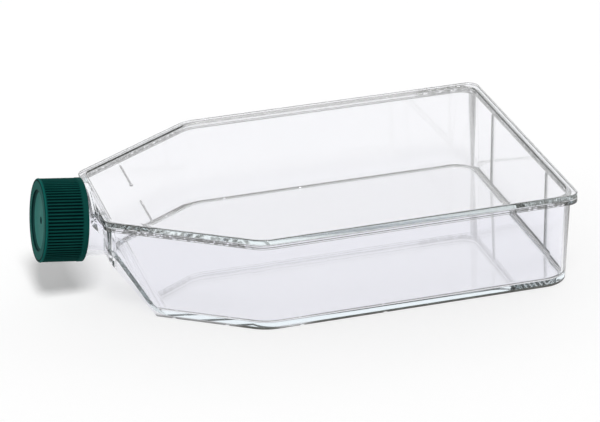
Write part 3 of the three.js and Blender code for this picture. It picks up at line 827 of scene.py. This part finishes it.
def rim_painted_lines(s, melt, along, height, upright):
    """Painted shade as dark grey lines on the welded seam, the bead's crown and the flange's lower lip, with a
    mottle between them, standing in for the rim's dark refraction lines.
    """
    seam = band(height, s.flange_top - 0.1, s.plate_bottom + 0.1, 0.15) * (0.5 + 0.5 * melt.smooth(0.4, 0.55))
    crown = band(height, s.height - 0.42, s.height - 0.16, 0.1) * (0.2 + 0.2 * melt)
    lip = 0.75 * band(height, s.flange_bottom - 0.05, s.flange_bottom + 0.3, 0.1)
    ends = 1 - band(along, s.shoulder_length, 0.84 * s.rim_length, 6.0)
    patch = melt.smooth(0.46, 0.55) * band(height, s.flange_bottom + 0.4, s.height - 0.5, 0.2) * ends
    behind_neck = along.smooth(-0.3, 0.3)
    return (seam + crown + lip + 0.6 * patch) * behind_neck * upright


def back_painted_lines(s, along, side, height, upright):
    """Painted shade as dark grey on the two ribs and the thick corners of the back wall, standing in for their
    dark refraction lines.
    """
    back = s.rim_length - s.flange_overhang
    rib = band(side, s.rib_place - 0.5, s.rib_place + 0.5, 0.1) * along.smooth(back - 4.0, back - 3.5)
    rib = rib * height.smooth(2.5, 3.0) * (1 - height.smooth(s.flange_bottom - 0.3, s.flange_bottom))
    corner = band(side, s.rim_width / 2 - 9.0, s.rim_width / 2 - 4.5, 0.8)
    corner = corner * along.smooth(back - 3.4, back - 2.6) * height.smooth(1.0, 2.0) * upright
    corner = corner * (1 - height.smooth(s.flange_bottom - 0.6, s.flange_bottom - 0.3))
    return 0.5 * rib + 0.55 * corner


def foot_painted_shade(s, cloud, along, height, slope):
    """Painted shade as dark grey on the rim that the flask stands on and on the thick turn into the wall above
    it, standing in for the contact shadow along the foot.
    """
    stand = 1 - height.smooth(0.35, 0.55)
    heel = (1 - slope.smooth(0.88, 0.95)) * (1 - height.smooth(1.0, 1.4)) * cloud.smooth(0.32, 0.46)
    sides = 0.3 + 0.7 * band(along, s.shoulder_length - 4.0, s.rim_length - 12.0, 8.0)
    return 0.35 * stand + 0.85 * heel * sides


def clear_plastic(name, tint, finish, s):
    """Clear polystyrene with a faint moulded waviness; along the rim, back wall and foot a dull, opaque dark
    grey is mixed in as painted shade for dark refraction lines and the contact shadow.
    """
    material = bpy.data.materials.new(name)
    f = Finish(material)
    where = place(f)
    along, side, height = flask_place(f, where)
    cloud = f.noise(where, 16.0, 1.0, 0.5)
    scuff = f.noise(where, 900.0, 2.0, 0.7)
    melt = f.noise(where, 460.0, 2.0, 0.6)
    surface = f.node("NewGeometry")
    facing = f.value(f.node("SeparateXYZ", Vector=surface.outputs["Normal"]), 2)
    slope = facing * facing
    upright = 1 - slope.smooth(0.5, 0.85)
    # painted shade: where these masks are set, the clear plastic gives way to the opaque dark grey shader
    # below
    painted_shade = rim_painted_lines(s, melt, along, height, upright) + back_painted_lines(s, along, side, height, upright)
    painted_shade = (painted_shade + foot_painted_shade(s, cloud, along, height, slope)).clamped()
    # the growth floor's upper face is glossier than the plastic alone, so that the rim mirrors in it
    growth_face = slope.smooth(0.9, 0.97) * band(height, s.floor_top - 0.3, s.floor_top + 0.3, 0.1)
    growth_face = growth_face * (1 - f.value(surface, "Backfacing"))
    bump = f.node("Bump", Strength=0.03, Distance=0.0006, Height=cloud).outputs[0]
    polished = f.node(
        "BsdfPrincipled", Base_Color=f.mix(cloud, tint, toned(tint, 0.985, 0.01)), Roughness=0.02 * painted_shade,
        IOR=POLYSTYRENE_IOR, Transmission_Weight=1.0, Coat_Weight=growth_face, Coat_Roughness=0.0,
        Coat_IOR=2.0, Normal=bump)
    # the painted shade's colour, mottled between the edge tint and a paler grey; being opaque, it also keeps
    # light off the floor under it
    edge_tint = tuple(finish.edge_tint)
    painted_line_shader = f.node(
        "BsdfPrincipled", Base_Color=f.mix(melt.smooth(0.35, 0.65), edge_tint, toned(edge_tint, 2.2)),
        Roughness=0.3 + 0.2 * scuff, IOR=POLYSTYRENE_IOR, Normal=bump)
    # light that falls through the flask is only dimmed, so that the floor under it stays pale
    dimmed = f.node("BsdfTransparent", Color=(0.76, 0.76, 0.77))
    passed = f.node("BsdfTransparent", Color=(0.98, 0.98, 0.985))
    path = f.node("LightPath")
    clear = f.blend(path.outputs["Is Diffuse Ray"], polished, dimmed)
    clear = f.blend(path.outputs["Is Shadow Ray"], clear, passed)
    inside = f.node("VolumeAbsorption", Color=tuple(finish.depth_tint), Density=finish.depth_density)
    f.node("OutputMaterial", Surface=f.blend(painted_shade, clear, painted_line_shader).outputs[0], Volume=inside.outputs[0])
    return material


def cap_place(f, where, s, n):
    """How far a point lies out along the neck's axis, and out from that axis, in millimetres."""
    start = (PLATE_LOW.x, 0, (s.height - n.axis_drop) * MM)
    spot = f.node("VectorMath", {"operation": "SUBTRACT"}, i0=where, i1=start)
    along = f.node("VectorMath", {"operation": "DOT_PRODUCT"}, i0=spot.outputs[0], i1=tuple(PULL))
    out = f.node("VectorMath", {"operation": "CROSS_PRODUCT"}, i0=spot.outputs[0], i1=tuple(PULL))
    radius = f.node("VectorMath", {"operation": "LENGTH"}, i0=out.outputs[0])
    return f.value(along, "Value") / MM, f.value(radius, "Value") / MM


def cap_plastic(shade, s, n, c):
    """Coloured polyethylene, softly mottled and finely grained, with painted shade in the grooves, on the
    recess wall and in the gate hole, a painted highlight on the face ring and a painted sheen on the dished
    face.
    """
    material = bpy.data.materials.new("cap_plastic")
    f = Finish(material)
    where = place(f)
    along, radius = cap_place(f, where, s, n)
    mottle = f.noise(where, 140.0, 4.0, 0.6)
    grain = f.noise(where, 2600.0, 3.0, 0.6)
    # painted shade in the grooves between the ribs
    skirt = radius.smooth(c.inside + 0.4, c.root - 0.05)
    groove_shade = skirt * (1 - radius.smooth(c.root + 0.05, c.radius - 0.2))
    lip, face = c.radius - c.face_ring, cap_face(n, c)
    # painted sheen: the dished face inside the ring is coloured paler
    disc_sheen = 1 - radius.smooth(lip - 0.3, lip)
    # painted highlight: the face ring is coloured paler
    ring = radius.smooth(lip + 0.15, lip + 0.35) * along.smooth(face - 1.0, face - 0.5)
    # painted shade on the recess wall and in the gate hole
    gate_hole = 1 - radius.smooth(1.6, 1.8)
    shaded = band(radius, lip - 0.9, lip, 0.12) + 1.15 * gate_hole
    body = f.mix(mottle, toned(shade, 0.88), toned(shade, 1.25, 0.004))
    # the painted sheen's colour on the dished face
    body = f.mix(disc_sheen, body, toned(shade, 3.3, 0.045))
    # the painted highlight's colour on the face ring
    body = f.mix(ring * (0.6 + 0.8 * mottle), body, toned(shade, 2.0, 0.001))
    # the painted shade's colour, mixed in over the grooves, the recess wall and the gate hole
    body = f.mix(0.9 * (groove_shade + 0.85 * shaded), body, (0.0, 0.1 * shade[1], 0.18 * shade[2]))
    roughness = 0.36 + 0.10 * mottle + 0.05 * grain + 0.12 * groove_shade
    bump = f.node("Bump", Strength=0.35, Distance=0.00006, Height=0.4 * grain + 0.6 * mottle)
    plastic = f.node(
        "BsdfPrincipled", Base_Color=body, Roughness=roughness, IOR=POLYETHYLENE_IOR,
        Specular_IOR_Level=0.005, Normal=bump.outputs[0])
    f.node("OutputMaterial", Surface=plastic.outputs[0])
    return material


# ------------ studio
def background_rays(f):
    """One for rays that look at the background, straight on, in a gloss or through the clear plastic."""
    path = f.node("LightPath")
    straight, glossy = f.value(path, "Is Camera Ray"), f.value(path, "Is Glossy Ray")
    return (straight + glossy + f.value(path, "Is Transmission Ray")).clamped()


def studio_floor(shade, lift):
    """Pale floor that keeps the shadow and comes up white where nothing shades it."""
    segments, radii = 64, (0.4, 1.5, 6.0, 40.0)
    points = [(0, 0, 0)]
    points += [(x, y, 0) for r in radii for x, y in arc((0, 0), r, 0, 360, segments)[:-1]]
    faces = []
    for i in range(segments):
        j = (i + 1) % segments
        faces.append((0, 1 + i, 1 + j))
        for k in range(len(radii) - 1):
            low = 1 + k * segments
            high = low + segments
            faces.append((low + i, high + i, high + j, low + j))
    floor = solid("studio_floor", points, faces)
    material = bpy.data.materials.new("studio_floor")
    f = Finish(material)
    paper = f.noise(place(f), 30.0, 4.0, 0.5)
    matt = f.node(
        "BsdfPrincipled", Base_Color=f.mix(paper, toned(shade, 0.995), shade), Roughness=0.8,
        Specular_IOR_Level=0.1)
    white = f.node("Emission", Color=(1.0, 1.0, 1.0), Strength=1.0)
    f.node("OutputMaterial", Surface=f.blend(lift * background_rays(f), matt, white).outputs[0])
    floor.data.materials.append(material)


def studio_world(front_light, top_light):
    """White all round to look at; lights the flask from behind, and little from the front and overhead."""
    world = bpy.data.worlds.new("studio")
    bpy.context.scene.world = world
    f = Finish(world)
    way = f.node("SeparateXYZ", Vector=f.node("TexCoord").outputs["Generated"])
    behind = f.value(way, 1).smooth(-0.15, 0.5)
    above = f.value(way, 2).smooth(0.6, 0.72)
    tone = front_light + (1 - front_light) * behind
    tone = tone + (top_light - tone) * above
    tone = tone + (1 - tone) * background_rays(f)
    light = f.node("Background", Color=(1.0, 1.0, 1.0), Strength=tone)
    f.node("OutputWorld", Surface=light.outputs[0])


def soft_lamp(name, way, strength, angle):
    """A large soft lamp far off; way points from the flask to it."""
    lamp = bpy.data.lights.new(name, "SUN")
    lamp.energy = strength
    lamp.angle = math.radians(angle)
    holder = bpy.data.objects.new(name, lamp)
    holder.rotation_euler = Vector(way).to_track_quat("Z", "Y").to_euler()
    bpy.context.scene.collection.objects.link(holder)


def place_camera(s, t):
    """Puts the camera round, above and away from the flask's middle, and makes it the scene's own."""
    a, e, r = t.azimuth, t.elevation, t.roll
    back = Vector((math.sin(a) * math.cos(e), -math.cos(a) * math.cos(e), math.sin(e)))
    right = Vector((math.cos(a), math.sin(a), 0.0))
    up = back.cross(right)
    right, up = math.cos(r) * right + math.sin(r) * up, math.cos(r) * up - math.sin(r) * right
    target = Vector((PLATE_LOW.x + s.rim_length * MM / 2, 0.0, t.target_height * MM))
    camera = bpy.data.cameras.new("camera")
    camera.lens = t.focal
    camera.sensor_width = 36.0
    camera.shift_x = t.shift_across
    camera.shift_y = t.shift_up
    camera.clip_end = 100.0
    holder = bpy.data.objects.new("camera", camera)
    away = Matrix.Translation(target + back * (t.distance * MM))
    holder.matrix_world = away @ Matrix((right, up, back)).transposed().to_4x4()
    bpy.context.scene.collection.objects.link(holder)
    bpy.context.scene.camera = holder


# ------------ operators
class FLASK_OT_tray(bpy.types.Operator):
    """Builds the clear tray with its neck, thread and foot rim"""

    bl_idname = "flask.tray"
    bl_label = "Tray with neck"

    def execute(self, context):
        s = flask_sizes(context.scene)
        n = in_millimetres(context.scene.flask_neck)
        finish = context.scene.flask_finish
        body = make_tray(s, n)
        finish_mesh(body, "tray", "tray_with_neck", "flask")
        body.data.materials.append(clear_plastic("tray_plastic", tuple(finish.tray_tint), finish, s))
        return {"FINISHED"}


class FLASK_OT_top_plate(bpy.types.Operator):
    """Builds the top plate with its stacking bead"""

    bl_idname = "flask.top_plate"
    bl_label = "Top plate"

    def execute(self, context):
        s = flask_sizes(context.scene)
        finish = context.scene.flask_finish
        body = make_top_plate(s)
        finish_mesh(body, "plate", "top_plate", "flask")
        body.data.materials.append(clear_plastic("plate_plastic", tuple(finish.plate_tint), finish, s))
        return {"FINISHED"}


class FLASK_OT_cap(bpy.types.Operator):
    """Builds the ribbed screw cap"""

    bl_idname = "flask.cap"
    bl_label = "Screw cap"

    def execute(self, context):
        s = flask_sizes(context.scene)
        n = in_millimetres(context.scene.flask_neck)
        c = in_millimetres(context.scene.flask_cap)
        body = make_cap(s, n, c)
        finish_mesh(body, "cap", "screw_cap", "cap", sharp=40.0)
        body.data.materials.append(cap_plastic(tuple(context.scene.flask_finish.cap_shade), s, n, c))
        return {"FINISHED"}


class FLASK_OT_studio(bpy.types.Operator):
    """Sets up the floor, the light and the camera"""

    bl_idname = "flask.studio"
    bl_label = "Studio"

    def execute(self, context):
        scene = context.scene
        t = in_millimetres(scene.flask_studio)
        scene.view_settings.view_transform = "Standard"
        # a ray that runs along inside the clear walls turns many times before it gets out
        for kind in ("max", "glossy", "transmission", "transparent_max"):
            setattr(scene.cycles, kind + "_bounces", 48)
        studio_floor(tuple(scene.flask_finish.floor_shade), t.floor_lift)
        studio_world(t.front_light, t.top_light)
        soft_lamp("overhead", way=(-0.03, -0.56, 1.0), strength=math.pi * t.lamp, angle=20.0)
        place_camera(flask_sizes(scene), t)
        return {"FINISHED"}


class FLASK_PT_build(bpy.types.Panel):
    """Lists the steps that build the flask"""

    bl_label = "Cell culture flask"
    bl_space_type = "VIEW_3D"
    bl_region_type = "UI"
    bl_category = "Flask"

    def draw(self, context):
        for operator in OPERATORS:
            self.layout.operator(operator.bl_idname)
        for name in SETTINGS:
            box = self.layout.box()
            group = getattr(context.scene, name)
            for item in own_properties(group):
                box.prop(group, item.identifier)


OPERATORS = (FLASK_OT_tray, FLASK_OT_top_plate, FLASK_OT_cap, FLASK_OT_studio)


def register():
    """Adds the settings, the operators and the panel."""
    for group in (*SETTINGS.values(), *OPERATORS, FLASK_PT_build):
        bpy.utils.register_class(group)
    for name, group in SETTINGS.items():
        setattr(bpy.types.Scene, name, bpy.props.PointerProperty(type=group))


def unregister():
    """Takes them away again."""
    for name in SETTINGS:
        delattr(bpy.types.Scene, name)
    for group in (FLASK_PT_build, *reversed(OPERATORS), *reversed(SETTINGS.values())):
        bpy.utils.unregister_class(group)


def main():
    register()
    bpy.ops.flask.tray()
    bpy.ops.flask.top_plate()
    bpy.ops.flask.cap()
    bpy.ops.flask.studio()


if __name__ == "__main__":
    main()
